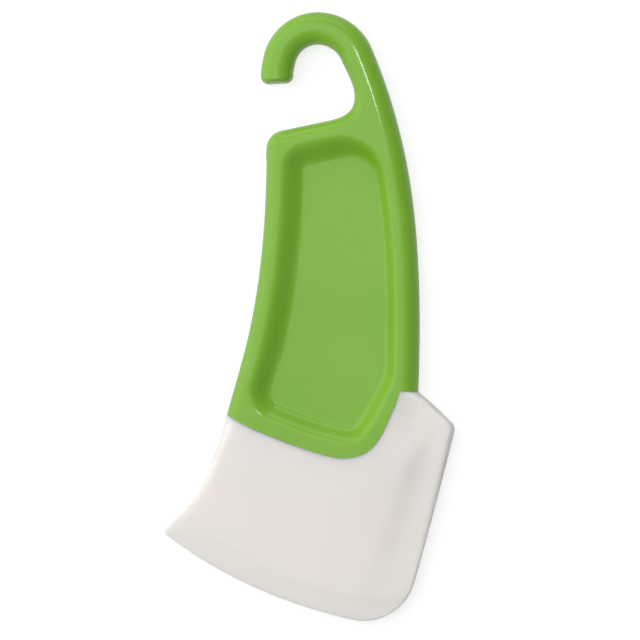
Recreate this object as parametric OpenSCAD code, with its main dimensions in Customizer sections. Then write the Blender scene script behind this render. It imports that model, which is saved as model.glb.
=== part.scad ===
// Pan scraper: a moulded handle with an open hanging hook and a grip dished on both
// faces, and a silicone blade moulded over the tang that the handle hides inside it.
// It lies flat: X runs across it, Y runs along it towards the hook, Z comes out of its face.
// In plan, sizes are counted from the left end of the seam between handle and blade.

/* [Handle] */
// Thickness of the handle over its rims
handle_t = 11; // [9:0.5:13]
// Height of the flat moulding land round the handle's edge
land_t = 0.5; // [0.2:0.1:1]
// Width of the handle's foot
foot_w = 66.1; // [62:0.1:70]
// Height of the foot's right end above its left end
foot_rise = 21.9; // [18:0.1:25]
// Reach of the back to the right at its middle
back_x = 52.7; // [48:0.1:58]
// Height of the back's middle
back_h = 80.5; // [70:0.5:90]
// How far the left side draws in at the waist
waist_in = 1.9; // [0:0.1:4]
// Height of the waist
waist_h = 32.1; // [26:0.1:42]
// How far the shoulder stands out to the left
shoulder_out = 5.5; // [2:0.1:8]
// Height of the shoulder's corner
shoulder_h = 101.4; // [96:0.2:106]
// Rise of the shoulder's top edge, in degrees
shoulder_slope = 23; // [15:1:28]
// Radius of the shoulder's corner
shoulder_r = 6.6; // [6.2:0.1:10]

/* [Hook] */
// Width of the hook's bar
bar_w = 11.6; // [9:0.1:13.5]
// Width of the flat crown that is left along the rounded bar
crown_w = 1; // [0.4:0.1:2]
// Distance of the eye's middle from the seam's left end, along X
eye_x = 10.4; // [6:0.2:14]
// Width of the eye
eye_w = 24; // [20:0.2:27]
// Height of the eye over the shoulder's edge
eye_h = 27.6; // [24:0.2:32]
// How far the eye's top leans to the left of its middle
eye_lean = 3.7; // [1:0.1:5]
// Depth of the eye's round upper left corner
eye_corner = 8.4; // [7:0.2:12]
// Length of the hook's end below the eye's corner
tip_l = 8.4; // [5:0.2:12]
// Turn of the hook's end towards the eye, in degrees
tip_curl = 15; // [0:1:25]
// Radius of the corners at the hook's end
tip_r = 2.8; // [1.5:0.1:4]
// Rounding of the hook's end face
tip_round = 1.6; // [0.8:0.1:3]

/* [Grip] */
// Depth of the dished grip on each face
grip_depth = 4.4; // [2.5:0.1:4.9]
// Width of the sloping wall round the grip
wall_w = 8.4; // [6:0.1:9]
// Flat land between the rounded edge and the grip, down the left side
side_land = 0.3; // [0.3:0.1:1.5]
// Flat land between the rounded edge and the grip, along the back
back_land = 1.3; // [0.3:0.1:2.5]
// Flat land between the rounded shoulder and the grip
top_land = 0.3; // [0.3:0.1:2]
// Flat land between the grip and the seam
seam_land = 4.9; // [3:0.1:6]
// Height above the foot's right end at which the grip's rim comes up to the back
grip_foot_h = 7.1; // [5:0.1:12]
// Height at which the rim leaves the back for its upper right corner
grip_back_h = 98; // [88:0.5:100]
// Drop from the shoulder's corner to where the rim's upper left corner ends
grip_neck_drop = 13; // [12:0.2:20]
// Height at which the rim leaves the left side for its lower left corner
grip_left_h = 13.2; // [11:0.2:17]

/* [Seam] */
// Lowest point of the seam below its left end
seam_dip = 6.9; // [5:0.1:10]
// Distance of the seam's lowest point from its left end
seam_low_x = 41.3; // [38:0.1:44]
// Distance from the handle's right side to the top of the blade's ear, along the seam
ear_seat = 6.3; // [6.2:0.1:9]

/* [Tang] */
// Thickness of the tang inside the blade
tang_t = 2.6; // [1.6:0.1:3.2]
// Width of the tang
tang_w = 34; // [32:0.5:36]
// Distance of the tang's middle from the seam's left end
tang_x = 33; // [31:0.5:35]
// Reach of the tang below the seam's lowest point
tang_l = 22; // [14:1:26]
// Radius of the tang's lower corners
tang_r = 6; // [2:0.5:8]
// Radius of the holes that the silicone locks through
lock_r = 3; // [2:0.1:3.5]
// Distance between the locking holes
lock_pitch = 10.5; // [9:0.25:11]
// Height of the locking holes above the tang's lower end
lock_rise = 10; // [6:0.5:11]
// Number of locking holes
lock_count = 3; // [1:1:3]

/* [Blade] */
// Distance of the blade's right side from the seam's left end
blade_right = 81.4; // [78:0.2:86]
// Distance of the blade's lowest point below the seam's left end
blade_drop = 62.4; // [58:0.2:70]
// Distance of the blade's left tip to the left of the seam's left end
tip_out = 14.6; // [10:0.2:18]
// Distance of the blade's left tip below the seam's left end
tip_drop = 46.7; // [42:0.1:52]
// Radius of the blade's left tip
blade_tip_r = 1.5; // [0.8:0.1:3]
// Size of the blade's round lower right corner
heel_r = 19; // [12:0.5:24]
// Fall of the blade's upper right edge, in degrees
ear_slope = 31; // [26:1:38]
// Radius of the blade's upper right corner
ear_r = 4; // [3:0.1:8]
// Thickness of the scraping edge
scrape_t = 1.8; // [1.2:0.1:3]
// Thickness of the blade where its thin lip begins
lip_t = 3; // [2.6:0.1:4.5]
// Width of the thin lip along the scraping edge
lip_w = 10; // [6:0.5:14]
// Drop from the blade's face to the flange along the right side
flange_drop = 0.8; // [0.4:0.1:1.6]
// Width of the flange
flange_w = 8.8; // [5:0.1:11]
// Width of the slope between the blade's thick middle and the flange
foot_slope_w = 13.5; // [9:0.5:16]
// Width of the bevel along the left side
bevel_w = 2.75; // [2:0.25:5]

/* [Hidden] */

// Half thicknesses, and the width of the rounded edge that leaves the crown on the bar
half_t = handle_t / 2;
half_land = land_t / 2;
edge_w = (bar_w - crown_w) / 2;

// Number of bands over a rounded edge and over the grip's wall
edge_steps = 5;
wall_steps = 6;

// An anchor is [x, y, heading], with the moulding on its left-hand side.
function ahead(p, heading, d) = [p[0] + d * cos(heading), p[1] + d * sin(heading)];
function facing(p, heading) = [p[0], p[1], heading];
function inset(a, d) = facing(ahead(a, a[2] + 90, d), a[2]);

// Least turn from one heading to another, in degrees
function turn(from, to) = let(d = (to - from + 540) % 360 - 180) d;

// A curve from one anchor to the next, as near to a round arc as a cubic gets
function arm(a, b) = let(w = abs(turn(a[2], b[2])), chord = norm([b[0] - a[0], b[1] - a[1]]))
    chord * (w < 1 ? 1 / 3 : 2 / 3 * tan(w / 4) / sin(w / 2));
function cubic(p, q, r, s, t) = pow(1 - t, 3) * p + 3 * t * pow(1 - t, 2) * q
    + 3 * t * t * (1 - t) * r + pow(t, 3) * s;
function bend_at(a, b, t) = cubic([a[0], a[1]], ahead(a, a[2], arm(a, b)),
    ahead(b, b[2], -arm(a, b)), [b[0], b[1]], t);
function trail(anchors, counts) = [
    for (k = [0 : len(anchors) - 2]) for (i = [0 : counts[k] - 1])
        bend_at(anchors[k], anchors[k + 1], i / counts[k]),
    [anchors[len(anchors) - 1][0], anchors[len(anchors) - 1][1]]];

// Start and end anchors of a round corner of radius r, from the corner's apex
function corner(apex, h_in, h_out, r) = let(run = r * tan(abs(turn(h_in, h_out)) / 2))
    [facing(ahead(apex, h_in, -run), h_in), facing(ahead(apex, h_out, run), h_out)];
// The anchor halfway round such a corner
function mid_anchor(a, b) = facing(bend_at(a, b, 0.5), a[2] + turn(a[2], b[2]) / 2);

// The anchor where the curve from one anchor to the next passes height h
curve_steps = 24;
function at_height(a, b, h) = let(
    points = trail([a, b], [curve_steps]),
    t = lookup(h, [for (i = [0 : curve_steps]) [points[i][1], i / curve_steps]]),
    p = bend_at(a, b, t),
    q = bend_at(a, b, t + 1 / curve_steps))
    facing(p, a[2] + turn(a[2], atan2(q[1] - p[1], q[0] - p[0])) - turn(a[2], b[2]) / curve_steps / 2);

// Points along a trail at given shares of its length
function travelled(points) = [for (i = 0, s = 0; i < len(points); i = i + 1,
    s = s + (i < len(points) ? norm(points[i] - points[i - 1]) : 0)) s];
function spread(points, shares) = let(
    run = travelled(points),
    xs = [for (i = [0 : len(points) - 1]) [run[i], points[i][0]]],
    ys = [for (i = [0 : len(points) - 1]) [run[i], points[i][1]]])
    [for (s = shares) [lookup(s * run[len(run) - 1], xs), lookup(s * run[len(run) - 1], ys)]];

function ease(t) = let(c = max(0, min(1, t))) c * c * (3 - 2 * c);
function round_over(t) = let(c = max(0, min(1, t))) sqrt(1 - pow(1 - c, 2));
function mix(a, b, t) = a + (b - a) * t;

// Headings of the sides where the handle's outline passes its main points
back_foot_head = 99.7;
back_head = 107.3;
left_foot_head = 266.5;
waist_head = 269.8;
neck_head = 281;
shoulder_head = 180 + shoulder_slope;
seam_left_head = -18;
seam_right_head = 8.5;

// Main points of the handle's outline: its foot, back, waist, neck and shoulder
foot_left = [0, 0, left_foot_head];
foot_right = [foot_w, foot_rise, back_foot_head];
back = [back_x, back_h, back_head];
waist = [waist_in, waist_h, waist_head];
neck_in = 1.4;
neck_drop = 11.9;
neck = [neck_in - shoulder_out, shoulder_h - neck_drop, neck_head];
shoulder_apex = [-shoulder_out, shoulder_h];

// Eye of the hook, with the place of its upper right bend as shares of its width and height
eye_bend_x = 0.193;
eye_bend_y = 0.153;
eye_bend_head = -55;
eye_side_y = 0.648;
eye_floor_in = 0.4;
eye_left = eye_x - eye_w / 2;
eye_right = eye_x + eye_w / 2;
eye_floor = ahead(shoulder_apex, shoulder_slope,
    (eye_x + eye_floor_in + shoulder_out) / cos(shoulder_slope));
eye_top = eye_floor[1] + eye_h;
eye_a = [eye_left, eye_top - eye_corner, 90];
eye_b = [eye_x - eye_lean, eye_top, 0];
eye_c = [eye_x + eye_bend_x * eye_w, eye_top - eye_bend_y * eye_h, eye_bend_head];
eye_d = [eye_right, eye_top - eye_side_y * eye_h, -90];
hook_back = facing(ahead(eye_c, eye_c[2] + 90, bar_w), eye_c[2] + 180);

// End of the hook: the bar's middle runs on from the eye's corner and curls
tip_start = [eye_left - bar_w / 2, eye_a[1]];
tip_head = 270 + tip_curl;
tip_end = ahead(tip_start, 270 + tip_curl / 2, tip_l);
// The end's four anchors on the ring that is set in by d at the sides, a share t of the round
function tip_ring(d, t) = let(
    side = bar_w / 2 - d,
    r = tip_r * side / (bar_w / 2),
    middle = ahead(tip_end, tip_head, -tip_round * t),
    outer = ahead(middle, tip_head - 90, side),
    inner = ahead(middle, tip_head + 90, side))
    concat(corner(outer, tip_head, tip_head + 90, r), corner(inner, tip_head + 90, tip_head + 180, r));

// The handle's outline, from the foot's right end up, over the hook and down, set in by d
shoulder_corner = corner(shoulder_apex, shoulder_head, 270, shoulder_r);
function outline_anchors(d) = concat(
    [facing(ahead(foot_right, 180 + seam_right_head, d), back_foot_head)],
    [inset(back, d)],
    [inset(hook_back, d)],
    [inset([eye_b[0], eye_b[1] + bar_w, 180], d)],
    [inset([eye_left - bar_w, eye_a[1], 270], d)],
    tip_ring(d, d / edge_w),
    [inset(eye_a, d), inset(eye_b, d), inset(eye_c, d), inset(eye_d, d)],
    [inset(facing(eye_floor, shoulder_head), d)],
    [for (a = shoulder_corner) inset(a, d)],
    [inset(neck, d)],
    [inset(waist, d)],
    [facing(ahead(foot_left, seam_left_head, d), left_foot_head)]);
outline_counts = [9, 12, 8, 10, 3, 4, 1, 4, 2, 7, 5, 5, 8, 4, 6, 3, 8, 6];
function outline_ring(d) = trail(outline_anchors(d), outline_counts);

// Rounded edge: how far each ring is set in, and its height
function edge_inset(k) = edge_w * (1 - cos(90 * k / edge_steps));
function edge_z(k) = mix(half_land, half_t, sin(90 * k / edge_steps));

// Seam between the handle and the blade, from left to right: a long shallow bow, then the
// chamfer that climbs to the blade's ear
bow_x = 0.4;
bow_y = 0.61;
bow_head = -9.7;
chamfer_run = 14.5;
chamfer_rise = 8;
chamfer_head = 65;
ear_drop = 6;
ear_head_in = 76;
ear_turn = [0.45, 1.6, 76];
seam_anchors = [
    facing(ahead(foot_left, seam_left_head, edge_w), seam_left_head),
    [bow_x * seam_low_x, -bow_y * seam_dip, bow_head],
    [seam_low_x, -seam_dip, 0],
    [seam_low_x + chamfer_run, chamfer_rise - seam_dip, chamfer_head],
    [foot_w - ear_seat, foot_rise - ear_drop, ear_head_in],
    [foot_w - ear_seat + ear_turn[0], foot_rise - ear_turn[1], ear_turn[2]],
    facing(ahead(foot_right, 180 + seam_right_head, edge_w), seam_right_head)];
seam_counts = [4, 7, 5, 5, 2, 2];
seam_middle = trail(seam_anchors, seam_counts);
seam_line = concat(
    [for (k = [0 : edge_steps - 1]) ahead(foot_left, seam_left_head, edge_inset(k))],
    seam_middle,
    [for (k = [edge_steps - 1 : -1 : 0]) ahead(foot_right, 180 + seam_right_head, edge_inset(k))]);
seam_z = concat([for (k = [0 : edge_steps - 1]) edge_z(k)], [for (p = seam_middle) half_t],
    [for (k = [edge_steps - 1 : -1 : 0]) edge_z(k)]);

// Rim of the dished grip, set in from the edges and from the seam
rim_in = edge_w + side_land;
back_in = edge_w + back_land;
rim_top_line = inset(facing(shoulder_apex, shoulder_head), edge_w + top_land);
function crossing(p, q) = let(
    u = [cos(p[2]), sin(p[2])], v = [cos(q[2]), sin(q[2])],
    s = ((q[0] - p[0]) * v[1] - (q[1] - p[1]) * v[0]) / (u[0] * v[1] - u[1] * v[0]))
    [p[0] + s * u[0], p[1] + s * u[1]];
// Where an even bend from anchor a comes down on a line, and where one leaves a line for anchor b
function landing(a, line) = let(apex = crossing(a, line))
    facing(ahead(apex, line[2], norm(apex - [a[0], a[1]])), line[2]);
function leaving(line, b) = let(apex = crossing(line, b))
    facing(ahead(apex, line[2], -norm(apex - [b[0], b[1]])), line[2]);
rim_foot = inset(at_height(foot_right, back, foot_rise + grip_foot_h), back_in);
rim_back = inset(back, back_in);
rim_back_end = inset(at_height(back, hook_back, grip_back_h), back_in);
rim_neck = inset(at_height(neck, waist, shoulder_h - grip_neck_drop), rim_in);
rim_left_end = inset(at_height(waist, foot_left, grip_left_h), rim_in);
// The wall has its full width at the waist only, and these shares of it elsewhere.
foot_wall = 0.7;
back_wall = 0.65;
top_wall = 1.05;
left_wall = 0.9;
seam_wall = 0.82;
// Shares of the land along the seam that are left beside the chamfer and under the ear
chamfer_land = 0.8;
ear_land = 0.57;
function rim_anchors(d) = let(
    foot = inset(rim_foot, foot_wall * d),
    back_end = inset(rim_back_end, back_wall * d),
    top_line = inset(rim_top_line, top_wall * d),
    neck_end = inset(rim_neck, d),
    left_end = inset(rim_left_end, left_wall * d),
    wall = seam_wall * d,
    low = seam_land + wall)
    [foot, inset(rim_back, back_wall * d), back_end, landing(back_end, top_line), leaving(top_line, neck_end),
        neck_end, inset(waist, rim_in + d), left_end, landing(left_end, inset(seam_anchors[1], low)),
        inset(seam_anchors[2], low), inset(seam_anchors[3], chamfer_land * seam_land + wall),
        inset(seam_anchors[4], ear_land * seam_land + wall), foot];
rim_counts = [8, 3, 10, 3, 8, 8, 4, 8, 4, 5, 3, 3];
function rim_ring(d) = let(points = trail(rim_anchors(d), rim_counts))
    [for (i = [0 : len(points) - 2]) points[i]];
// Share of the grip's depth reached at share t of its wall, steepest a little past the middle
wall_late = 1.1;
function wall_fall(t) = (1 - cos(180 * pow(t, wall_late))) / 2;

// Stations where the flat land is cut in three: the hook's crown, the hook's root, the grip's land
function upto(counts, k) = k == 0 ? 0 : counts[k - 1] + upto(counts, k - 1);
outline_count = upto(outline_counts, len(outline_counts)) + 1;
rim_count = upto(rim_counts, len(rim_counts));
back_cut = upto(outline_counts, 1) + 5;
hook_cut = upto(outline_counts, 2) - 4;
tip_cut = upto(outline_counts, 6);
eye_cut = upto(outline_counts, 12);
floor_cut = upto(outline_counts, 13) - 3;
rim_back_cut = upto(rim_counts, 2) + 3;
rim_floor_cut = upto(rim_counts, 3) - 2;

// Sides of the blade, each from the seam's end round to the corner it shares
left_middle = [0.23, 0.53, 254];
left_tip_head = 234.7;
lip_head = 335.7;
heel_head = 86;
heel_in = 4.1;
ear_end_head = 268;
tip_corner = corner([-tip_out, -tip_drop], left_tip_head, lip_head, blade_tip_r);
heel_corner = corner([blade_right - heel_in, -blade_drop], 0, heel_head, heel_r);
ear_head = 360 - ear_slope;
ear_apex = [blade_right, foot_rise - (blade_right - foot_w) * tan(ear_slope)];
ear_corner = corner(ear_apex, ear_head, ear_end_head, ear_r);
tip_middle = mid_anchor(tip_corner[0], tip_corner[1]);
heel_middle = mid_anchor(heel_corner[0], heel_corner[1]);
function turned(a) = facing(a, a[2] + 180);
left_side = trail([foot_left, [-left_middle[0] * tip_out, -left_middle[1] * tip_drop, left_middle[2]],
    tip_corner[0], tip_middle], [10, 10, 3]);
lip_side = trail([tip_middle, tip_corner[1], heel_corner[0], heel_middle], [3, 24, 10]);
right_side = trail([facing(foot_right, ear_head), ear_corner[0], ear_corner[1],
    turned(heel_corner[1]), turned(heel_middle)], [8, 8, 16, 10]);

// The blade's plan is blended from its four sides.
rows = 24;
columns = len(seam_line) - 1;
seam_run = travelled(seam_line);
lip_run = travelled(lip_side);
left_run = travelled(left_side);
right_run = travelled(right_side);
function last(list) = list[len(list) - 1];
across_shares = [for (s = seam_run) s / last(seam_run)];
down_shares = [for (j = [0 : rows]) mix(j / rows, (1 - cos(180 * j / rows)) / 2, 0.5)];
lip_points = spread(lip_side, across_shares);
left_points = spread(left_side, down_shares);
right_points = spread(right_side, down_shares);
function blade_xy(i, j) = let(u = across_shares[i], v = down_shares[j])
    (1 - v) * seam_line[i] + v * lip_points[i] + (1 - u) * left_points[j] + u * right_points[j]
    - (1 - u) * (1 - v) * seam_line[0] - u * (1 - v) * last(seam_line)
    - (1 - u) * v * lip_points[0] - u * v * last(lip_points);

// How the blade's faces run. Lengths are counted from the seam, or from the side they belong to.
scrape_half = scrape_t / 2;
thinning_ease = 0.4;
lip_taper = 0.3;
lip_edge = 0.7;
step_near = 0.7 * lip_w;
step_w = 0.5 * lip_w;
flange_taper_w = 3 * lip_w;
flange_from_seam = 9;
bevel_from_seam = 14;
bevel_edge = 0.8 * scrape_half;
side_from_seam = 6;
side_round = 1.5;
side_edge = 0.65;

// Half thickness of the blade at a share u across it and v down it
function blade_half(u, v) = let(
    across = mix(last(seam_run), last(lip_run), v),
    down = mix(last(left_run), last(right_run), u),
    from_left = u * across,
    from_right = (1 - u) * across,
    from_seam = v * down,
    from_lip = (1 - v) * down,
    fall = min(1, from_seam / (down - lip_w)),
    body = mix(half_t, lip_t / 2, mix(fall, ease(fall), thinning_ease)),
    lip = mix(scrape_half, scrape_half + lip_taper, min(1, from_lip / lip_w)),
    plain = mix(lip, body, ease((from_lip - step_near) / step_w)),
    foot = ease((flange_w + foot_slope_w - from_right) / foot_slope_w) * ease(from_seam / flange_from_seam),
    face = plain - flange_drop * foot * min(1, from_lip / flange_taper_w),
    bevelling = ease(from_seam / bevel_from_seam),
    left_w = mix(edge_w, bevel_w, bevelling),
    left_z = mix(half_land, bevel_edge, bevelling),
    siding = ease(from_seam / side_from_seam),
    right_w = mix(edge_w, side_round, siding),
    right_z = mix(half_land, side_edge * face, siding),
    bevelled = mix(left_z, face, round_over(from_left / left_w)),
    sided = mix(right_z, bevelled, round_over(from_right / right_w)))
    sided * mix(lip_edge, 1, round_over(from_lip));
function blade_z(i, j) = j == 0 ? seam_z[i] : blade_half(across_shares[i], down_shares[j]);

// Moves the finished pieces so that the middle of the whole, face down, is the origin.
plan_points = concat(outline_ring(0), left_side, lip_side, right_side);
plan_xs = [for (p = plan_points) p[0]];
plan_ys = [for (p = plan_points) p[1]];
module place() {
    translate([-(min(plan_xs) + max(plan_xs)) / 2, -(min(plan_ys) + max(plan_ys)) / 2, half_t])
        children();
}

// Faces are triangles, listed clockwise as seen from outside.
function quad(a, b, c, d) = [[a, b, c], [a, c, d]];
function lifted(points, z) = [for (p = points) [p[0], p[1], z]];
function reversed(list) = [for (i = [len(list) - 1 : -1 : 0]) list[i]];
function run(from, to) = [for (i = [from : from < to ? 1 : -1 : to]) i];
function middle(points) = [for (c = [0 : 2])
    (min([for (p = points) p[c]]) + max([for (p = points) p[c]])) / 2];
function fan(hub, loop) = [for (i = [0 : len(loop) - 1]) [hub, loop[(i + 1) % len(loop)], loop[i]]];
// Two lines of points that run side by side, b on the left of a, joined the shorter way across
function a_next(points, a, b, i, j) = j == len(b) - 1 || (i < len(a) - 1
    && norm(points[a[i + 1]] - points[b[j]]) < norm(points[a[i]] - points[b[j + 1]]));
function zipped(points, a, b) = [
    for (i = 0, j = 0, on_a = a_next(points, a, b, 0, 0); i + j < len(a) + len(b) - 2;
        i = i + (on_a ? 1 : 0), j = j + (on_a ? 0 : 1), on_a = a_next(points, a, b, i, j))
    [a[i], b[j], on_a ? a[i + 1] : b[j + 1]]];

module shell() {
    n = outline_count;
    m = rim_count;
    edge_rings = [for (k = [0 : edge_steps]) outline_ring(edge_inset(k))];
    wall_rings = [for (k = [0 : wall_steps]) rim_ring(wall_w * k / wall_steps)];
    seam_inner = [for (i = [1 : len(seam_middle) - 2]) seam_middle[i]];
    rings = concat(
        [for (k = [0 : edge_steps]) each lifted(edge_rings[k], edge_z(k))],
        [for (k = [0 : wall_steps])
            each lifted(wall_rings[k], half_t - grip_depth * wall_fall(k / wall_steps))],
        lifted(seam_inner, half_t));
    crown = n * edge_steps;
    rim = n * (edge_steps + 1);
    seam = rim + m * (wall_steps + 1);
    function crown_run(from, to) = run(crown + from, crown + to);
    function rim_run(from, to) = run(rim + from, rim + to);

    // The flat web between the dishes and the flat root of the hook each get a point in the middle.
    web_loop = run(rim + m * wall_steps, seam - 1);
    root_loop = concat(crown_run(back_cut, hook_cut), crown_run(eye_cut, floor_cut),
        rim_run(rim_floor_cut, rim_back_cut));
    upper = concat(rings, [for (loop = [web_loop, root_loop]) middle([for (i = loop) rings[i]])]);
    lower = [for (p = upper) [p[0], p[1], -p[2]]];
    under = len(upper);

    // Bands over the edge and down the grip's wall, as upper face indices
    edge_bands = [for (k = [0 : edge_steps - 1]) for (i = [0 : n - 2])
        each quad(k * n + i, (k + 1) * n + i, (k + 1) * n + i + 1, k * n + i + 1)];
    wall_bands = [for (k = [0 : wall_steps - 1]) for (i = [0 : m - 1]) let(j = (i + 1) % m)
        each quad(rim + k * m + i, rim + (k + 1) * m + i, rim + (k + 1) * m + j, rim + k * m + j)];
    web = fan(under - 2, web_loop);
    hook_root = fan(under - 1, root_loop);
    hook_crown = zipped(upper, crown_run(hook_cut, tip_cut), crown_run(eye_cut, tip_cut + 1));
    grip_land = zipped(upper,
        concat(crown_run(floor_cut, n - 1), run(seam, seam + len(seam_inner) - 1), crown_run(0, back_cut)),
        concat(rim_run(rim_floor_cut, m - 1), rim_run(0, rim_back_cut)));
    face = concat(edge_bands, wall_bands, web, hook_crown, hook_root, grip_land);

    // The moulding land round the edge, and the wall along the seam
    side = [for (i = [0 : n - 2]) each quad(i, i + 1, under + i + 1, under + i)];
    seam_walk = concat(
        [for (k = [0 : edge_steps]) k * n + n - 1],
        [for (i = [0 : len(seam_inner) - 1]) seam + i],
        [for (k = [edge_steps : -1 : 0]) k * n]);
    seam_side = [for (i = [0 : len(seam_walk) - 2])
        each quad(seam_walk[i], seam_walk[i + 1], under + seam_walk[i + 1], under + seam_walk[i])];
    polyhedron(concat(upper, lower), concat(
        face,
        [for (f = face) [for (v = reversed(f)) under + v]],
        side,
        seam_side));
}

// Plate that the silicone is moulded round, rooted behind the seam, with locking holes
module tang() {
    low = -seam_dip - tang_l;
    root_in = 2.8;
    left = tang_x - tang_w / 2;
    right = tang_x + tang_w / 2;
    root = [for (p = seam_middle) if (p[0] > left && p[0] < right) [p[0], p[1] + root_in]];
    lower_right = corner([right, low], 270, 180, tang_r);
    lower_left = corner([left, low], 180, 90, tang_r);
    translate([0, 0, -tang_t / 2]) difference() {
        linear_extrude(tang_t)
            polygon(concat(
                [[left, root[0][1]]],
                root,
                [[right, last(root)[1]]],
                trail(lower_right, [6]),
                trail(lower_left, [6])));
        for (i = [0 : lock_count - 1])
            translate([tang_x + (i - (lock_count - 1) / 2) * lock_pitch, low + lock_rise, -1])
                cylinder(r = lock_r, h = tang_t + 2, $fn = 48);
    }
}

module silicone() {
    n = columns + 1;
    upper = [for (j = [0 : rows]) for (i = [0 : columns])
        let(p = blade_xy(i, j)) [p[0], p[1], blade_z(i, j)]];
    lower = [for (p = upper) [p[0], p[1], -p[2]]];
    under = len(upper);
    face = [for (j = [0 : rows - 1]) for (i = [0 : columns - 1])
        each quad(j * n + i, j * n + i + 1, (j + 1) * n + i + 1, (j + 1) * n + i)];
    walk = concat(
        [for (j = [0 : rows]) j * n],
        [for (i = [1 : columns]) rows * n + i],
        [for (j = [rows - 1 : -1 : 0]) j * n + columns],
        [for (i = [columns - 1 : -1 : 0]) i]);
    side = [for (i = [0 : len(walk) - 2])
        each quad(walk[i], walk[i + 1], under + walk[i + 1], under + walk[i])];
    polyhedron(concat(upper, lower), concat(
        face,
        [for (f = face) [for (v = reversed(f)) under + v]],
        side));
}

module handle() {
    color([0.32, 0.62, 0.17])
        place() {
            shell();
            tang();
        }
}

module blade() {
    color([0.93, 0.92, 0.9])
        place() difference() {
            silicone();
            tang();
        }
}

handle();
blade();
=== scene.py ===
import math

import bpy
from mathutils import Matrix, Quaternion, Vector
from mathutils.geometry import tessellate_polygon


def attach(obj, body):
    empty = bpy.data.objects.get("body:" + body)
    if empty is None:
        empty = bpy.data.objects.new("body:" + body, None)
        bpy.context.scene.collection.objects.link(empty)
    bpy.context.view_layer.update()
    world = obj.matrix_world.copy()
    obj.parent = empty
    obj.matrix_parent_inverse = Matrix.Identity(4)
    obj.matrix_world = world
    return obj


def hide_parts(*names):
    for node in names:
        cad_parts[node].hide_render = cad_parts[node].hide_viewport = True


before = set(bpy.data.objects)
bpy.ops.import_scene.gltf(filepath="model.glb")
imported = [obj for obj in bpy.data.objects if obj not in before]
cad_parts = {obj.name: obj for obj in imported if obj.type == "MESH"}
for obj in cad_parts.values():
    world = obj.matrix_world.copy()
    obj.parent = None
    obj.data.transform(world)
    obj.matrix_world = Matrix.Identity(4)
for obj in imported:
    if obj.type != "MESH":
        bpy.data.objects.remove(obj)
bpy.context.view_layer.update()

MM = 0.001

# Handle, in millimetres, counted in plan from the left end of the seam
HANDLE_T = 11.0
LAND_T = 0.5
FOOT_W = 66.1
FOOT_RISE = 21.9
FOOT_LEFT = (0.0, 0.0, 266.5)
FOOT_RIGHT = (FOOT_W, FOOT_RISE, 99.7)
BACK = (52.7, 80.5, 107.3)
WAIST = (1.9, 32.1, 269.8)
SHOULDER_OUT = 5.5
SHOULDER_H = 101.4
SHOULDER_SLOPE = 23.0
SHOULDER_R = 6.6
SHOULDER = (-SHOULDER_OUT, SHOULDER_H)
SHOULDER_HEAD = 180 + SHOULDER_SLOPE
NECK_IN = 1.4
NECK_DROP = 11.9
NECK = (NECK_IN - SHOULDER_OUT, SHOULDER_H - NECK_DROP, 281.0)
PARTING_PROUD = 0.06
PARTING_HALF = 0.12

# Hook
BAR_W = 11.6
CROWN_W = 1.0
EYE_X = 10.4
EYE_W = 24.0
EYE_H = 27.6
EYE_LEAN = 3.7
EYE_CORNER = 8.4
EYE_BEND = (0.193, 0.153, -55.0)
EYE_SIDE_Y = 0.648
EYE_FLOOR_IN = 0.4
TIP_L = 8.4
TIP_CURL = 15.0
TIP_R = 2.8
TIP_ROUND = 1.6

# Grip: the wall has its full width at the waist only, and these shares of it elsewhere
GRIP_DEPTH = 4.4
WALL_W = 8.4
WALL_LATE = 1.1
FOOT_WALL = 0.7
BACK_WALL = 0.65
TOP_WALL = 1.05
LEFT_WALL = 0.9
SEAM_WALL = 0.82
CHAMFER_LAND = 0.8
EAR_LAND = 0.57
SIDE_LAND = 0.3
BACK_LAND = 1.3
TOP_LAND = 0.3
SEAM_LAND = 4.9
GRIP_FOOT_H = 7.1
GRIP_BACK_H = 98.0
GRIP_NECK_DROP = 13.0
GRIP_LEFT_H = 13.2

# Seam: a long shallow bow, then the chamfer that climbs to the blade's ear
SEAM_DIP = 6.9
SEAM_LOW_X = 41.3
BOW_X = 0.4
BOW_Y = 0.61
BOW_HEAD = -9.7
CHAMFER_RUN = 14.5
CHAMFER_RISE = 8.0
CHAMFER_HEAD = 65.0
EAR_SEAT = 6.3
EAR_DROP = 6.0
EAR_HEAD_IN = 76.0
EAR_TURN = (0.45, 1.6, 76.0)
SEAM_LEFT_HEAD = -18.0
SEAM_RIGHT_HEAD = 8.5

# Eased edge of the seam: how far in from it and how far down, as shares of its size
SEAM_ROUND = 0.06
SEAM_EASE = ((0.0, 1.0), (0.3, 0.3), (1.0, 0.0), (1.6, 0.0))

# Blade
BLADE_RIGHT = 81.4
BLADE_DROP = 62.4
TIP_OUT = 14.6
TIP_DROP = 46.7
TIP_HEAD = 234.7
BLADE_TIP_R = 1.5
LEFT_MIDDLE = (0.23, 0.53, 254.0)
LIP_HEAD = 335.7
HEEL_IN = 4.1
HEEL_HEAD = 86.0
HEEL_R = 19.0
EAR_SLOPE = 31.0
EAR_HEAD = 360 - EAR_SLOPE
EAR_END_HEAD = 268.0
EAR_R = 4.0
SCRAPE_T = 1.8
LIP_T = 3.0
LIP_W = 10.0
FLANGE_DROP = 0.8
FLANGE_W = 8.8
FOOT_SLOPE_W = 13.5
BEVEL_W = 2.75
BEVEL_EDGE = 0.8
SIDE_ROUND = 1.5
SIDE_EDGE = 0.65
THINNING_EASE = 0.4
LIP_TAPER = 0.3
LIP_EDGE = 0.7
STEP_NEAR = 0.7 * LIP_W
STEP_W = 0.5 * LIP_W
FLANGE_TAPER_W = 3 * LIP_W
FLANGE_FROM_SEAM = 9.0
BEVEL_FROM_SEAM = 14.0
SIDE_FROM_SEAM = 6.0

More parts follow.
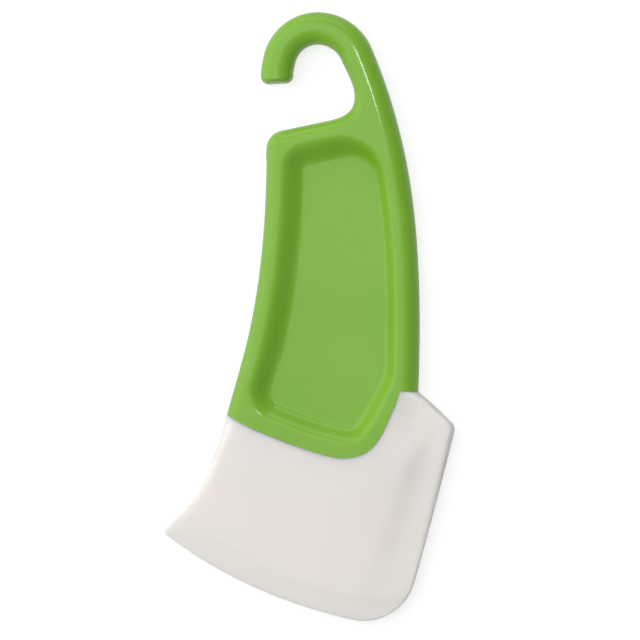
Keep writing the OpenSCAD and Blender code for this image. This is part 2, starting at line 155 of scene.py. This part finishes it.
# How finely the curves are cut, with rows close to the seam and to the scraping edge
FINER = 4
EDGE_STEPS = 14
WALL_STEPS = 26
ROWS = 110
END_ROWS = 0.3
SEAM_ROWS = (0.0, 0.002, 0.004)
LIP_STEPS = (1.0, 0.8, 0.62, 0.46, 0.32, 0.2, 0.11, 0.05, 0.015)
LIP_CLEAR = 1.3

# A last ring on the floor of the grip, and rings beside the edges of the flat land that keep its
# shading flat
FLOOR_MARGIN = 0.6
GUARD = 0.1

HALF_T = HANDLE_T / 2
HALF_LAND = LAND_T / 2
EDGE_W = (BAR_W - CROWN_W) / 2
RIM_IN = EDGE_W + SIDE_LAND
BACK_IN = EDGE_W + BACK_LAND


# Anchors and curves: an anchor is (x, y, heading), with the moulding on its left-hand side
def ahead(p, heading, d):
    h = math.radians(heading)
    return (p[0] + d * math.cos(h), p[1] + d * math.sin(h))


def facing(p, heading):
    return (p[0], p[1], heading)


def inset(a, d):
    return facing(ahead(a, a[2] + 90, d), a[2])


def turn(start, end):
    return (end - start + 540) % 360 - 180


def distance(p, q):
    return math.hypot(p[0] - q[0], p[1] - q[1])


def mix(a, b, t):
    return a + (b - a) * t


def bend_at(a, b, t):
    sweep = math.radians(abs(turn(a[2], b[2])))
    chord = distance(a, b)
    arm = chord / 3 if sweep < 0.02 else chord * 2 / 3 * math.tan(sweep / 4) / math.sin(sweep / 2)
    points = (a, ahead(a, a[2], arm), ahead(b, b[2], -arm), b)
    weights = ((1 - t) ** 3, 3 * t * (1 - t) ** 2, 3 * t * t * (1 - t), t ** 3)
    return tuple(sum(w * p[k] for w, p in zip(weights, points)) for k in (0, 1))


def trail(anchors, counts):
    points = []
    for a, b, count in zip(anchors, anchors[1:], counts):
        points += [bend_at(a, b, i / (count * FINER)) for i in range(count * FINER)]
    return points + [anchors[-1][:2]]


def corner(apex, head_in, head_out, r):
    reach = r * math.tan(math.radians(abs(turn(head_in, head_out))) / 2)
    return [facing(ahead(apex, head_in, -reach), head_in), facing(ahead(apex, head_out, reach), head_out)]


def mid_anchor(a, b):
    return facing(bend_at(a, b, 0.5), a[2] + turn(a[2], b[2]) / 2)


def at_height(a, b, h):
    """The anchor where the curve from a to b passes height h."""
    low, high = 0.0, 1.0
    rising = b[1] > a[1]
    for _ in range(40):
        t = (low + high) / 2
        if (bend_at(a, b, t)[1] < h) == rising:
            low = t
        else:
            high = t
    p, q = bend_at(a, b, low - 0.001), bend_at(a, b, low + 0.001)
    return facing(bend_at(a, b, low), math.degrees(math.atan2(q[1] - p[1], q[0] - p[0])))


def crossing(p, q):
    u, v = ahead((0, 0), p[2], 1), ahead((0, 0), q[2], 1)
    s = ((q[0] - p[0]) * v[1] - (q[1] - p[1]) * v[0]) / (u[0] * v[1] - u[1] * v[0])
    return ahead(p, p[2], s)


def landing(a, line):
    apex = crossing(a, line)
    return facing(ahead(apex, line[2], distance(apex, a)), line[2])


def leaving(line, b):
    apex = crossing(line, b)
    return facing(ahead(apex, line[2], -distance(apex, b)), line[2])


def ease(t):
    c = max(0.0, min(1.0, t))
    return c * c * (3 - 2 * c)


def round_over(t):
    c = max(0.0, min(1.0, t))
    return math.sqrt(1 - (1 - c) ** 2)


def travelled(points):
    run = [0.0]
    for p, q in zip(points, points[1:]):
        run.append(run[-1] + distance(p, q))
    return run


def spread(points, shares):
    """Points along a line at given shares of its length."""
    run = travelled(points)
    found, k = [], 0
    for share in shares:
        s = share * run[-1]
        while k < len(run) - 2 and run[k + 1] < s:
            k += 1
        t = (s - run[k]) / (run[k + 1] - run[k])
        found.append(tuple(mix(points[k][c], points[k + 1][c], t) for c in (0, 1)))
    return found


# Outline of the handle
EYE_LEFT = EYE_X - EYE_W / 2
EYE_FLOOR = ahead(SHOULDER, SHOULDER_SLOPE,
                  (EYE_X + EYE_FLOOR_IN + SHOULDER_OUT) / math.cos(math.radians(SHOULDER_SLOPE)))
EYE_TOP = EYE_FLOOR[1] + EYE_H
EYE_A = (EYE_LEFT, EYE_TOP - EYE_CORNER, 90)
EYE_B = (EYE_X - EYE_LEAN, EYE_TOP, 0)
EYE_C = (EYE_X + EYE_BEND[0] * EYE_W, EYE_TOP - EYE_BEND[1] * EYE_H, EYE_BEND[2])
EYE_D = (EYE_X + EYE_W / 2, EYE_TOP - EYE_SIDE_Y * EYE_H, -90)
HOOK_BACK = facing(ahead(EYE_C, EYE_C[2] + 90, BAR_W), EYE_C[2] + 180)
TIP_END = ahead((EYE_LEFT - BAR_W / 2, EYE_A[1]), 270 + TIP_CURL / 2, TIP_L)
SHOULDER_CORNER = corner(SHOULDER, SHOULDER_HEAD, 270, SHOULDER_R)


def tip_ring(d, t):
    head = 270 + TIP_CURL
    side = BAR_W / 2 - d
    r = TIP_R * side / (BAR_W / 2)
    middle = ahead(TIP_END, head, -TIP_ROUND * t)
    outer, inner = ahead(middle, head - 90, side), ahead(middle, head + 90, side)
    return corner(outer, head, head + 90, r) + corner(inner, head + 90, head + 180, r)


def outline_ring(d):
    """The handle's outline set in by d, from the foot's right end up, over the hook and down."""
    anchors = [facing(ahead(FOOT_RIGHT, 180 + SEAM_RIGHT_HEAD, d), FOOT_RIGHT[2]), inset(BACK, d),
               inset(HOOK_BACK, d), inset((EYE_B[0], EYE_B[1] + BAR_W, 180), d),
               inset((EYE_LEFT - BAR_W, EYE_A[1], 270), d), *tip_ring(d, d / EDGE_W),
               inset(EYE_A, d), inset(EYE_B, d), inset(EYE_C, d), inset(EYE_D, d),
               inset(facing(EYE_FLOOR, SHOULDER_HEAD), d), *[inset(a, d) for a in SHOULDER_CORNER],
               inset(NECK, d), inset(WAIST, d),
               facing(ahead(FOOT_LEFT, SEAM_LEFT_HEAD, d), FOOT_LEFT[2])]
    return trail(anchors, (9, 12, 8, 10, 3, 4, 1, 4, 2, 7, 5, 5, 8, 4, 6, 3, 8, 6))


# The seam's line, from left to right
SEAM_ANCHORS = [
    facing(ahead(FOOT_LEFT, SEAM_LEFT_HEAD, EDGE_W), SEAM_LEFT_HEAD),
    (BOW_X * SEAM_LOW_X, -BOW_Y * SEAM_DIP, BOW_HEAD),
    (SEAM_LOW_X, -SEAM_DIP, 0.0),
    (SEAM_LOW_X + CHAMFER_RUN, CHAMFER_RISE - SEAM_DIP, CHAMFER_HEAD),
    (FOOT_W - EAR_SEAT, FOOT_RISE - EAR_DROP, EAR_HEAD_IN),
    (FOOT_W - EAR_SEAT + EAR_TURN[0], FOOT_RISE - EAR_TURN[1], EAR_TURN[2]),
    facing(ahead(FOOT_RIGHT, 180 + SEAM_RIGHT_HEAD, EDGE_W), SEAM_RIGHT_HEAD)]
SEAM_MIDDLE = trail(SEAM_ANCHORS, (4, 7, 5, 5, 2, 2))


def edge_inset(k):
    return EDGE_W * (1 - math.cos(math.pi / 2 * k / EDGE_STEPS))


def edge_z(k):
    return mix(HALF_LAND, HALF_T, math.sin(math.pi / 2 * k / EDGE_STEPS))


def rim_ring(d):
    """The rim of the dished grip, set in by d down the left side and by a share of d elsewhere."""
    top_line = inset(facing(SHOULDER, SHOULDER_HEAD), EDGE_W + TOP_LAND + TOP_WALL * d)
    back_end = inset(at_height(BACK, HOOK_BACK, GRIP_BACK_H), BACK_IN + BACK_WALL * d)
    neck = inset(at_height(NECK, WAIST, SHOULDER_H - GRIP_NECK_DROP), RIM_IN + d)
    left_end = inset(at_height(WAIST, FOOT_LEFT, GRIP_LEFT_H), RIM_IN + LEFT_WALL * d)
    foot = inset(at_height(FOOT_RIGHT, BACK, FOOT_RISE + GRIP_FOOT_H), BACK_IN + FOOT_WALL * d)
    wall = SEAM_WALL * d
    low = SEAM_LAND + wall
    anchors = [foot, inset(BACK, BACK_IN + BACK_WALL * d), back_end, landing(back_end, top_line),
               leaving(top_line, neck), neck, inset(WAIST, RIM_IN + d), left_end,
               landing(left_end, inset(SEAM_ANCHORS[1], low)), inset(SEAM_ANCHORS[2], low),
               inset(SEAM_ANCHORS[3], CHAMFER_LAND * SEAM_LAND + wall),
               inset(SEAM_ANCHORS[4], EAR_LAND * SEAM_LAND + wall), foot]
    return trail(anchors, (8, 3, 10, 3, 8, 8, 4, 8, 4, 5, 3, 3))[:-1]


def wall_fall(t):
    return (1 - math.cos(math.pi * t ** WALL_LATE)) / 2


# The whole lies with the middle of its plan over the origin, as the solids do.
def place(point):
    return ((point[0] - PLAN_MIDDLE[0]) * MM, (point[1] - PLAN_MIDDLE[1]) * MM, (point[2] + HALF_T) * MM)


def new_piece(name, points, faces, crisp, material):
    """A smooth-shaded piece whose edges between crisp vertices stay sharp."""
    mesh = bpy.data.meshes.new(name)
    mesh.from_pydata([place(p) for p in points], [], faces)
    mesh.validate()
    mesh.polygons.foreach_set("use_smooth", [True] * len(mesh.polygons))
    for edge in mesh.edges:
        edge.use_edge_sharp = edge.vertices[0] in crisp and edge.vertices[1] in crisp
    mesh.materials.append(material)
    piece = bpy.data.objects.new(name, mesh)
    bpy.context.scene.collection.objects.link(piece)
    return piece


def lifted(points, z):
    return [(p[0], p[1], z) for p in points]


def band(lower, upper, count, closed):
    """Quads between two rings of vertex numbers that start at lower and upper."""
    last = count if closed else count - 1
    return [(lower + i, lower + (i + 1) % count, upper + (i + 1) % count, upper + i) for i in range(last)]


def mirrored(points, faces, shift):
    """The same surface on the other face, with its vertex numbers moved on by shift."""
    return ([(x, y, -z) for x, y, z in points],
            [tuple(shift + v for v in f[::-1]) for f in faces])


def beside(line, d):
    """The inner points of a line, moved by d to its left-hand side."""
    moved = []
    for before, p, after in zip(line, line[1:], line[2:]):
        heading = math.degrees(math.atan2(after[1] - before[1], after[0] - before[0]))
        moved.append(ahead(p, heading + 90, d))
    return moved


def handle_mesh():
    """One face is built from the parting ridge to the floor of the grip, then mirrored."""
    profile = [(0.0, 0.0), (0.0, PARTING_HALF), (PARTING_PROUD, PARTING_HALF + PARTING_PROUD)]
    profile += [(max(edge_inset(k), PARTING_PROUD), edge_z(k)) for k in range(EDGE_STEPS + 1)]
    points, faces = [], []
    for d, z in profile:
        points += lifted(outline_ring(d), z)
    guard = outline_ring(EDGE_W + GUARD)
    clear = SEAM_ROUND * SEAM_EASE[-1][0]
    guard[0] = ahead(guard[0], SEAM_RIGHT_HEAD + 90, clear)
    guard[-1] = ahead(guard[-1], SEAM_LEFT_HEAD + 90, clear)
    points += lifted(guard, HALF_T)
    rounds = len(profile)
    n = len(points) // (rounds + 1)
    for k in range(rounds):
        faces += band(k * n, (k + 1) * n, n, False)
    crown, land = (rounds - 1) * n, rounds * n

    # The seam's edge is eased a little, so that it shows as a fine line.
    seam_low = len(points)
    inner = SEAM_MIDDLE[1:-1]
    count = len(inner)
    for out, drop in SEAM_EASE:
        points += lifted(beside(SEAM_MIDDLE, SEAM_ROUND * out), HALF_T - SEAM_ROUND * drop)
    for k in range(len(SEAM_EASE) - 1):
        start, after = seam_low + k * count, seam_low + (k + 1) * count
        faces += band(start, after, count, False)
        faces.append((crown + n - 1, start, after))
        faces.append((start + count - 1, crown, after + count - 1))
    seam_high = seam_low + (len(SEAM_EASE) - 1) * count
    faces.append((crown + n - 1, seam_high, land + n - 1))
    faces.append((seam_high + count - 1, crown, land))

    rim = len(points)
    rings = [(WALL_W * k / WALL_STEPS, HALF_T - GRIP_DEPTH * wall_fall(k / WALL_STEPS))
             for k in range(WALL_STEPS + 1)]
    rings = [(-GUARD, HALF_T), *rings, (WALL_W + FLOOR_MARGIN, HALF_T - GRIP_DEPTH)]
    for d, z in rings:
        points += lifted(rim_ring(d), z)
    m = (len(points) - rim) // len(rings)
    for k in range(len(rings) - 1):
        faces += band(rim + k * m, rim + (k + 1) * m, m, True)
    floor = [rim + (len(rings) - 1) * m + i for i in range(m)]
    outer = [land + i for i in range(n)] + [seam_high + i for i in range(count)]
    hole = [rim + i for i in range(m)]
    for loops in ((outer, hole), (floor,)):
        numbers = [v for loop in loops for v in loop]
        flat = [[Vector((points[v][0], points[v][1], 0)) for v in loop] for loop in loops]
        for a, b, c in tessellate_polygon(flat):
            faces.append(upward(points, numbers[a], numbers[b], numbers[c]))

    # The foot's wall, from the top edge of the seam down to the parting plane
    walk = [k * n + n - 1 for k in range(rounds)]
    walk += [seam_low + i for i in range(count)] + [k * n for k in reversed(range(rounds))]
    other, other_faces = mirrored(points, faces, len(points))
    shift = len(points)
    wall = [(walk[i + 1], walk[i], shift + walk[i], shift + walk[i + 1]) for i in range(len(walk) - 1)]
    crisp = set(walk) | {shift + v for v in walk}
    return points + other, faces + other_faces + wall, crisp


def upward(points, a, b, c):
    ax, ay = points[b][0] - points[a][0], points[b][1] - points[a][1]
    bx, by = points[c][0] - points[a][0], points[c][1] - points[a][1]
    return (a, b, c) if ax * by - ay * bx > 0 else (a, c, b)


# Sides of the blade, each from the seam's end round to the corner it shares
TIP_CORNER = corner((-TIP_OUT, -TIP_DROP), TIP_HEAD, LIP_HEAD, BLADE_TIP_R)
HEEL_CORNER = corner((BLADE_RIGHT - HEEL_IN, -BLADE_DROP), 0, HEEL_HEAD, HEEL_R)
EAR_APEX = (BLADE_RIGHT, FOOT_RISE - (BLADE_RIGHT - FOOT_W) * math.tan(math.radians(EAR_SLOPE)))
EAR_CORNER = corner(EAR_APEX, EAR_HEAD, EAR_END_HEAD, EAR_R)
TIP_MIDDLE = mid_anchor(*TIP_CORNER)
HEEL_MIDDLE = mid_anchor(*HEEL_CORNER)


def turned(a):
    return facing(a, a[2] + 180)


LEFT_BEND = (-LEFT_MIDDLE[0] * TIP_OUT, -LEFT_MIDDLE[1] * TIP_DROP, LEFT_MIDDLE[2])
LEFT_SIDE = trail([FOOT_LEFT, LEFT_BEND, TIP_CORNER[0], TIP_MIDDLE], (10, 10, 3))
LIP_SIDE = trail([TIP_MIDDLE, TIP_CORNER[1], HEEL_CORNER[0], HEEL_MIDDLE], (3, 24, 10))
RIGHT_SIDE = trail([facing(FOOT_RIGHT, EAR_HEAD), EAR_CORNER[0], EAR_CORNER[1],
                    turned(HEEL_CORNER[1]), turned(HEEL_MIDDLE)], (8, 8, 16, 10))


def seam_stations():
    """The seam's plan and height: up the left rounded edge, along, and down the right one."""
    left = [(ahead(FOOT_LEFT, SEAM_LEFT_HEAD, edge_inset(k)), edge_z(k)) for k in range(EDGE_STEPS)]
    right = [(ahead(FOOT_RIGHT, 180 + SEAM_RIGHT_HEAD, edge_inset(k)), edge_z(k))
             for k in reversed(range(EDGE_STEPS))]
    return left + [(p, HALF_T) for p in SEAM_MIDDLE] + right


def blade_half(u, v, across, down):
    """Half the blade's thickness at a share u across it and v down it."""
    scrape_half = SCRAPE_T / 2
    from_left, from_right = u * across, (1 - u) * across
    from_seam, from_lip = v * down, (1 - v) * down
    fall = min(1, from_seam / (down - LIP_W))
    body = mix(HALF_T, LIP_T / 2, mix(fall, ease(fall), THINNING_EASE))
    lip = mix(scrape_half, scrape_half + LIP_TAPER, min(1, from_lip / LIP_W))
    plain = mix(lip, body, ease((from_lip - STEP_NEAR) / STEP_W))
    foot = ease((FLANGE_W + FOOT_SLOPE_W - from_right) / FOOT_SLOPE_W) * ease(from_seam / FLANGE_FROM_SEAM)
    face = plain - FLANGE_DROP * foot * min(1, from_lip / FLANGE_TAPER_W)
    bevelling = ease(from_seam / BEVEL_FROM_SEAM)
    siding = ease(from_seam / SIDE_FROM_SEAM)
    left_w = mix(EDGE_W, BEVEL_W, bevelling)
    left_z = mix(HALF_LAND, BEVEL_EDGE * scrape_half, bevelling)
    right_w = mix(EDGE_W, SIDE_ROUND, siding)
    right_z = mix(HALF_LAND, SIDE_EDGE * face, siding)
    bevelled = mix(left_z, face, round_over(from_left / left_w))
    sided = mix(right_z, bevelled, round_over(from_right / right_w))
    return sided * mix(LIP_EDGE, 1, round_over(from_lip))


def blade_mesh():
    stations = seam_stations()
    seam = [p for p, z in stations]
    runs = [travelled(side) for side in (seam, LIP_SIDE, LEFT_SIDE, RIGHT_SIDE)]
    seam_run, lip_run, left_run, right_run = [run[-1] for run in runs]
    across_shares = [s / seam_run for s in runs[0]]
    even = [mix(j / ROWS, (1 - math.cos(math.pi * j / ROWS)) / 2, END_ROWS) for j in range(1, ROWS)]
    typical = (left_run + right_run) / 2
    inner = [v for v in even if v < 1 - LIP_CLEAR * LIP_STEPS[0] / typical]
    down_shares = [*SEAM_ROWS, *inner, *[1 - s / typical for s in LIP_STEPS], 1.0]
    lip_points = spread(LIP_SIDE, across_shares)
    left_points, right_points = spread(LEFT_SIDE, down_shares), spread(RIGHT_SIDE, down_shares)
    points, columns = [], len(seam)
    for j, v in enumerate(down_shares):
        for i, u in enumerate(across_shares):
            xy = [(1 - v) * seam[i][c] + v * lip_points[i][c]
                  + (1 - u) * left_points[j][c] + u * right_points[j][c]
                  - (1 - u) * (1 - v) * seam[0][c] - u * (1 - v) * seam[-1][c]
                  - (1 - u) * v * lip_points[0][c] - u * v * lip_points[-1][c] for c in (0, 1)]
            across, down = mix(seam_run, lip_run, v), mix(left_run, right_run, u)
            z = blade_half(u, v, across, down)
            points.append((xy[0], xy[1], stations[i][1] if j == 0 else z))
    rows = len(down_shares)
    faces = []
    for j in range(rows - 1):
        faces += [f[::-1] for f in band(j * columns, (j + 1) * columns, columns, False)]
    other, other_faces = mirrored(points, faces, len(points))
    walk = ([j * columns for j in range(rows)] + [(rows - 1) * columns + i for i in range(1, columns)]
            + [j * columns + columns - 1 for j in reversed(range(rows - 1))]
            + list(reversed(range(columns - 1))))
    shift = len(points)
    side = [(walk[i], shift + walk[i], shift + walk[i + 1], walk[i + 1]) for i in range(len(walk) - 1)]
    crisp = set(range(columns)) | set(range(shift, shift + columns))
    return points + other, faces + other_faces + side, crisp


# Shared effects of the finishes
def new_group(name, inputs, outputs):
    """A node group with named inputs (name, kind, value) and outputs (name, kind)."""
    group = bpy.data.node_groups.new(name, "ShaderNodeTree")
    for label, kind, value in inputs:
        socket = group.interface.new_socket(label, in_out="INPUT", socket_type=kind)
        socket.default_value = value
    for label, kind in outputs:
        group.interface.new_socket(label, in_out="OUTPUT", socket_type=kind)
    return group, group.nodes.new("NodeGroupInput"), group.nodes.new("NodeGroupOutput")


def add(tree, kind, **settings):
    node = tree.nodes.new(kind)
    for key, value in settings.items():
        setattr(node, key, value)
    return node


def noise(tree, place_from, scale_from, detail, roughness):
    node = add(tree, "ShaderNodeTexNoise")
    node.inputs["Detail"].default_value = detail
    node.inputs["Roughness"].default_value = roughness
    tree.links.new(place_from, node.inputs["Vector"])
    if isinstance(scale_from, (int, float)):
        node.inputs["Scale"].default_value = scale_from
    else:
        tree.links.new(scale_from, node.inputs["Scale"])
    return node.outputs["Fac"]


def remap(tree, value, low, high, to_low, to_high):
    node = add(tree, "ShaderNodeMapRange", interpolation_type="SMOOTHSTEP")
    for label, number in zip(("From Min", "From Max", "To Min", "To Max"), (low, high, to_low, to_high)):
        if isinstance(number, (int, float)):
            node.inputs[label].default_value = number
        else:
            tree.links.new(number, node.inputs[label])
    tree.links.new(value, node.inputs["Value"])
    return node.outputs["Result"]


def combine(tree, operation, a, b):
    node = add(tree, "ShaderNodeMath", operation=operation)
    for socket, value in zip(node.inputs, (a, b)):
        if isinstance(value, (int, float)):
            socket.default_value = value
        else:
            tree.links.new(value, socket)
    return node.outputs["Value"]


def blend_colour(tree, mask, a, b):
    node = add(tree, "ShaderNodeMix", data_type="RGBA")
    tree.links.new(mask, node.inputs["Factor"])
    for socket, value in ((node.inputs["A"], a), (node.inputs["B"], b)):
        if isinstance(value, tuple):
            socket.default_value = value
        else:
            tree.links.new(value, socket)
    return node.outputs["Result"]


def moulded_skin_group():
    """The skin that a mould leaves: fine grain, slow ripples from cooling, and small rubbed spots."""
    group, given, result = new_group(
        "moulded_skin",
        (("Grain Size", "NodeSocketFloat", 0.4), ("Grain Height", "NodeSocketFloat", 0.1),
         ("Ripple Height", "NodeSocketFloat", 0.1), ("Rub Amount", "NodeSocketFloat", 0.2)),
        (("Height", "NodeSocketFloat"), ("Rub", "NodeSocketFloat"), ("Mottle", "NodeSocketFloat")))
    spot = add(group, "ShaderNodeTexCoord").outputs["Object"]
    grain_scale = combine(group, "DIVIDE", 1 / MM, given.outputs["Grain Size"])
    grain = noise(group, spot, grain_scale, 3, 0.6)
    grain = combine(group, "MULTIPLY", grain, given.outputs["Grain Height"])
    ripple = combine(group, "MULTIPLY", noise(group, spot, 55, 1, 0.4), given.outputs["Ripple Height"])
    height = combine(group, "ADD", grain, ripple)
    patch = remap(group, noise(group, spot, 90, 4, 0.62), 0.5, 0.74, 0.0, given.outputs["Rub Amount"])
    group.links.new(height, result.inputs["Height"])
    group.links.new(patch, result.inputs["Rub"])
    group.links.new(noise(group, spot, 38, 3, 0.55), result.inputs["Mottle"])
    return group


def new_material(name):
    material = bpy.data.materials.new(name)
    material.use_nodes = True
    tree = material.node_tree
    return material, tree, tree.nodes["Principled BSDF"]


def place_skin(tree, group, shader, values, bump_reach):
    skin = add(tree, "ShaderNodeGroup")
    skin.node_tree = group
    for label, value in values.items():
        skin.inputs[label].default_value = value
    bump = add(tree, "ShaderNodeBump")
    bump.inputs["Strength"].default_value = 1.0
    bump.inputs["Distance"].default_value = bump_reach
    tree.links.new(skin.outputs["Height"], bump.inputs["Height"])
    tree.links.new(bump.outputs["Normal"], shader.inputs["Normal"])
    return skin


def set_sockets(shader, values):
    for label, value in values.items():
        shader.inputs[label].default_value = value


def green_plastic(skin_group):
    material, tree, shader = new_material("leaf_green_plastic")
    set_sockets(shader, {"IOR": 1.49, "Specular IOR Level": 0.38, "Coat Weight": 0.3,
                         "Coat Roughness": 0.07, "Coat IOR": 1.5})
    skin = place_skin(tree, skin_group, shader,
                      {"Grain Size": 0.5, "Grain Height": 0.05, "Ripple Height": 1.0, "Rub Amount": 0.5},
                      0.02 * MM)
    colour = blend_colour(tree, remap(tree, skin.outputs["Mottle"], 0.3, 0.7, 0.0, 1.0),
                          (0.172, 0.405, 0.012, 1), (0.186, 0.420, 0.018, 1))
    tree.links.new(colour, shader.inputs["Base Color"])
    tree.links.new(remap(tree, skin.outputs["Rub"], 0.0, 1.0, 0.40, 0.48), shader.inputs["Roughness"])
    return material


def milky_silicone(skin_group):
    material, tree, shader = new_material("milky_silicone")
    set_sockets(shader, {"IOR": 1.41, "Subsurface Weight": 1.0, "Subsurface Scale": 0.005,
                         "Subsurface Radius": (1.0, 0.95, 0.9)})
    skin = place_skin(tree, skin_group, shader,
                      {"Grain Size": 0.25, "Grain Height": 0.3, "Ripple Height": 0.6, "Rub Amount": 0.6},
                      0.03 * MM)
    # Painted light: the silicone is painted lighter and warmer toward the lip. The mottle adds a random
    # tone of its own on top.
    along = add(tree, "ShaderNodeSeparateXYZ")
    tree.links.new(add(tree, "ShaderNodeTexCoord").outputs["Object"], along.inputs["Vector"])
    painted_light_toward_lip = remap(tree, along.outputs["Y"], -40 * MM, -95 * MM, 0.0, 1.0)
    painted_light_and_mottle = combine(tree, "MULTIPLY", combine(tree, "ADD", painted_light_toward_lip, skin.outputs["Mottle"]), 0.65)
    colour = blend_colour(tree, painted_light_and_mottle, (0.787, 0.774, 0.757, 1), (0.840, 0.788, 0.732, 1))
    tree.links.new(colour, shader.inputs["Base Color"])
    tree.links.new(remap(tree, skin.outputs["Rub"], 0.0, 1.0, 0.42, 0.52), shader.inputs["Roughness"])
    return material


def white_table():
    """White to the camera and in reflections, with the object's own shadow left on it."""
    material, tree, shader = new_material("white_table")
    set_sockets(shader, {"Base Color": (0.35, 0.35, 0.35, 1), "Roughness": 0.9, "Specular IOR Level": 0.0,
                         "Emission Color": (1, 1, 1, 1)})
    path = add(tree, "ShaderNodeLightPath")
    seen = combine(tree, "MAXIMUM", path.outputs["Is Camera Ray"], path.outputs["Is Glossy Ray"])
    seen = combine(tree, "MAXIMUM", seen, path.outputs["Is Transmission Ray"])
    tree.links.new(combine(tree, "MULTIPLY", seen, 0.76), shader.inputs["Emission Strength"])
    return material


# The two pieces
def plan_middle():
    plan = outline_ring(0) + LEFT_SIDE + LIP_SIDE + RIGHT_SIDE
    xs, ys = zip(*plan)
    return ((min(xs) + max(xs)) / 2, (min(ys) + max(ys)) / 2)


PLAN_MIDDLE = plan_middle()
skin_group = moulded_skin_group()
handle = new_piece("handle_moulding", *handle_mesh(), green_plastic(skin_group))
blade = new_piece("blade_moulding", *blade_mesh(), milky_silicone(skin_group))
for piece, node, slot in ((handle, "handle", "handle_plastic"), (blade, "blade", "blade_silicone")):
    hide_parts(node)
    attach(piece, "root")


# Table, lights and camera
TABLE_HALF = 3.0
TABLE_BELOW = 0.1 * MM


def table_top():
    """A floor a hair below the part, so that the two flat faces don't fight in a view from below."""
    corners = [(x * TABLE_HALF, y * TABLE_HALF, -TABLE_BELOW)
               for x, y in ((-1, -1), (1, -1), (1, 1), (-1, 1))]
    mesh = bpy.data.meshes.new("table_top")
    mesh.from_pydata(corners, [], [(0, 1, 2, 3)])
    mesh.materials.append(white_table())
    table = bpy.data.objects.new("table_top", mesh)
    bpy.context.scene.collection.objects.link(table)


# The photograph's view: the camera's way off the face, the part's lean in the picture, and the
# width that the picture takes in at the part's mid-plane
VIEW_RIGHT_OF_FACE = 10.4
VIEW_ABOVE_FACE = -0.2
PART_LEAN = 11.82
FRAME_MM = 228.5
VIEW_MIDDLE = (-7.6, -2.9, 5.5)
LENS = 200
SENSOR = 36


def in_picture(right, up, out):
    """A direction given by the picture's right, its up and the way out of the part's face."""
    lean = math.radians(PART_LEAN)
    return (Vector((math.cos(lean), math.sin(lean), 0)) * right
            + Vector((-math.sin(lean), math.cos(lean), 0)) * up + Vector((0, 0, out)))


def soft_box(name, round_picture, off_face, reach, size, watts, roll=0):
    """A softbox that faces the part from an angle in the picture and a tilt off the face's normal."""
    round_by, tilt = math.radians(round_picture), math.radians(off_face)
    way = in_picture(math.cos(round_by) * math.sin(tilt), math.sin(round_by) * math.sin(tilt),
                     math.cos(tilt))
    lamp = bpy.data.lights.new(name, "AREA")
    lamp.shape = "RECTANGLE"
    lamp.size, lamp.size_y = size
    lamp.energy = watts
    holder = bpy.data.objects.new(name, lamp)
    bpy.context.scene.collection.objects.link(holder)
    holder.location = way * reach
    holder.rotation_mode = "QUATERNION"
    facing_part = (-way).to_track_quat("-Z", "Y")
    holder.rotation_quaternion = facing_part @ Quaternion((0, 0, 1), math.radians(roll))


def studio():
    world = bpy.data.worlds.new("studio")
    world.use_nodes = True
    back = world.node_tree.nodes["Background"]
    back.inputs["Color"].default_value = (1, 1, 1, 1)
    back.inputs["Strength"].default_value = 0.45
    bpy.context.scene.world = world
    soft_box("main_box", 160, 37, 1.3, (1.5, 1.5), 9.6)
    soft_box("top_box", 95, 68, 1.3, (1.2, 0.6), 4.0)
    soft_box("left_box", 170, 78, 1.2, (1.2, 0.6), 2.8)
    soft_box("glint_box", 85, 12.2, 1.3, (0.19, 0.10), 2.1, 35)


def photo_camera():
    side, rise = math.radians(VIEW_RIGHT_OF_FACE), math.radians(VIEW_ABOVE_FACE)
    back = in_picture(math.sin(side) * math.cos(rise), math.sin(rise), math.cos(side) * math.cos(rise))
    up = in_picture(0, 1, 0)
    picture_up = (up - back * up.dot(back)).normalized()
    picture_right = picture_up.cross(back)
    lens = bpy.data.cameras.new("camera")
    lens.lens = LENS
    lens.sensor_width = SENSOR
    lens.clip_end = 20
    camera = bpy.data.objects.new("camera", lens)
    bpy.context.scene.collection.objects.link(camera)
    target = Vector(VIEW_MIDDLE) * MM
    spot = target + back * (FRAME_MM * MM * LENS / SENSOR)
    turn_to = Matrix((picture_right, picture_up, back)).transposed().to_4x4()
    camera.matrix_world = Matrix.Translation(spot) @ turn_to
    bpy.context.scene.camera = camera


table_top()
studio()
photo_camera()
bpy.context.scene.view_settings.view_transform = "Standard"
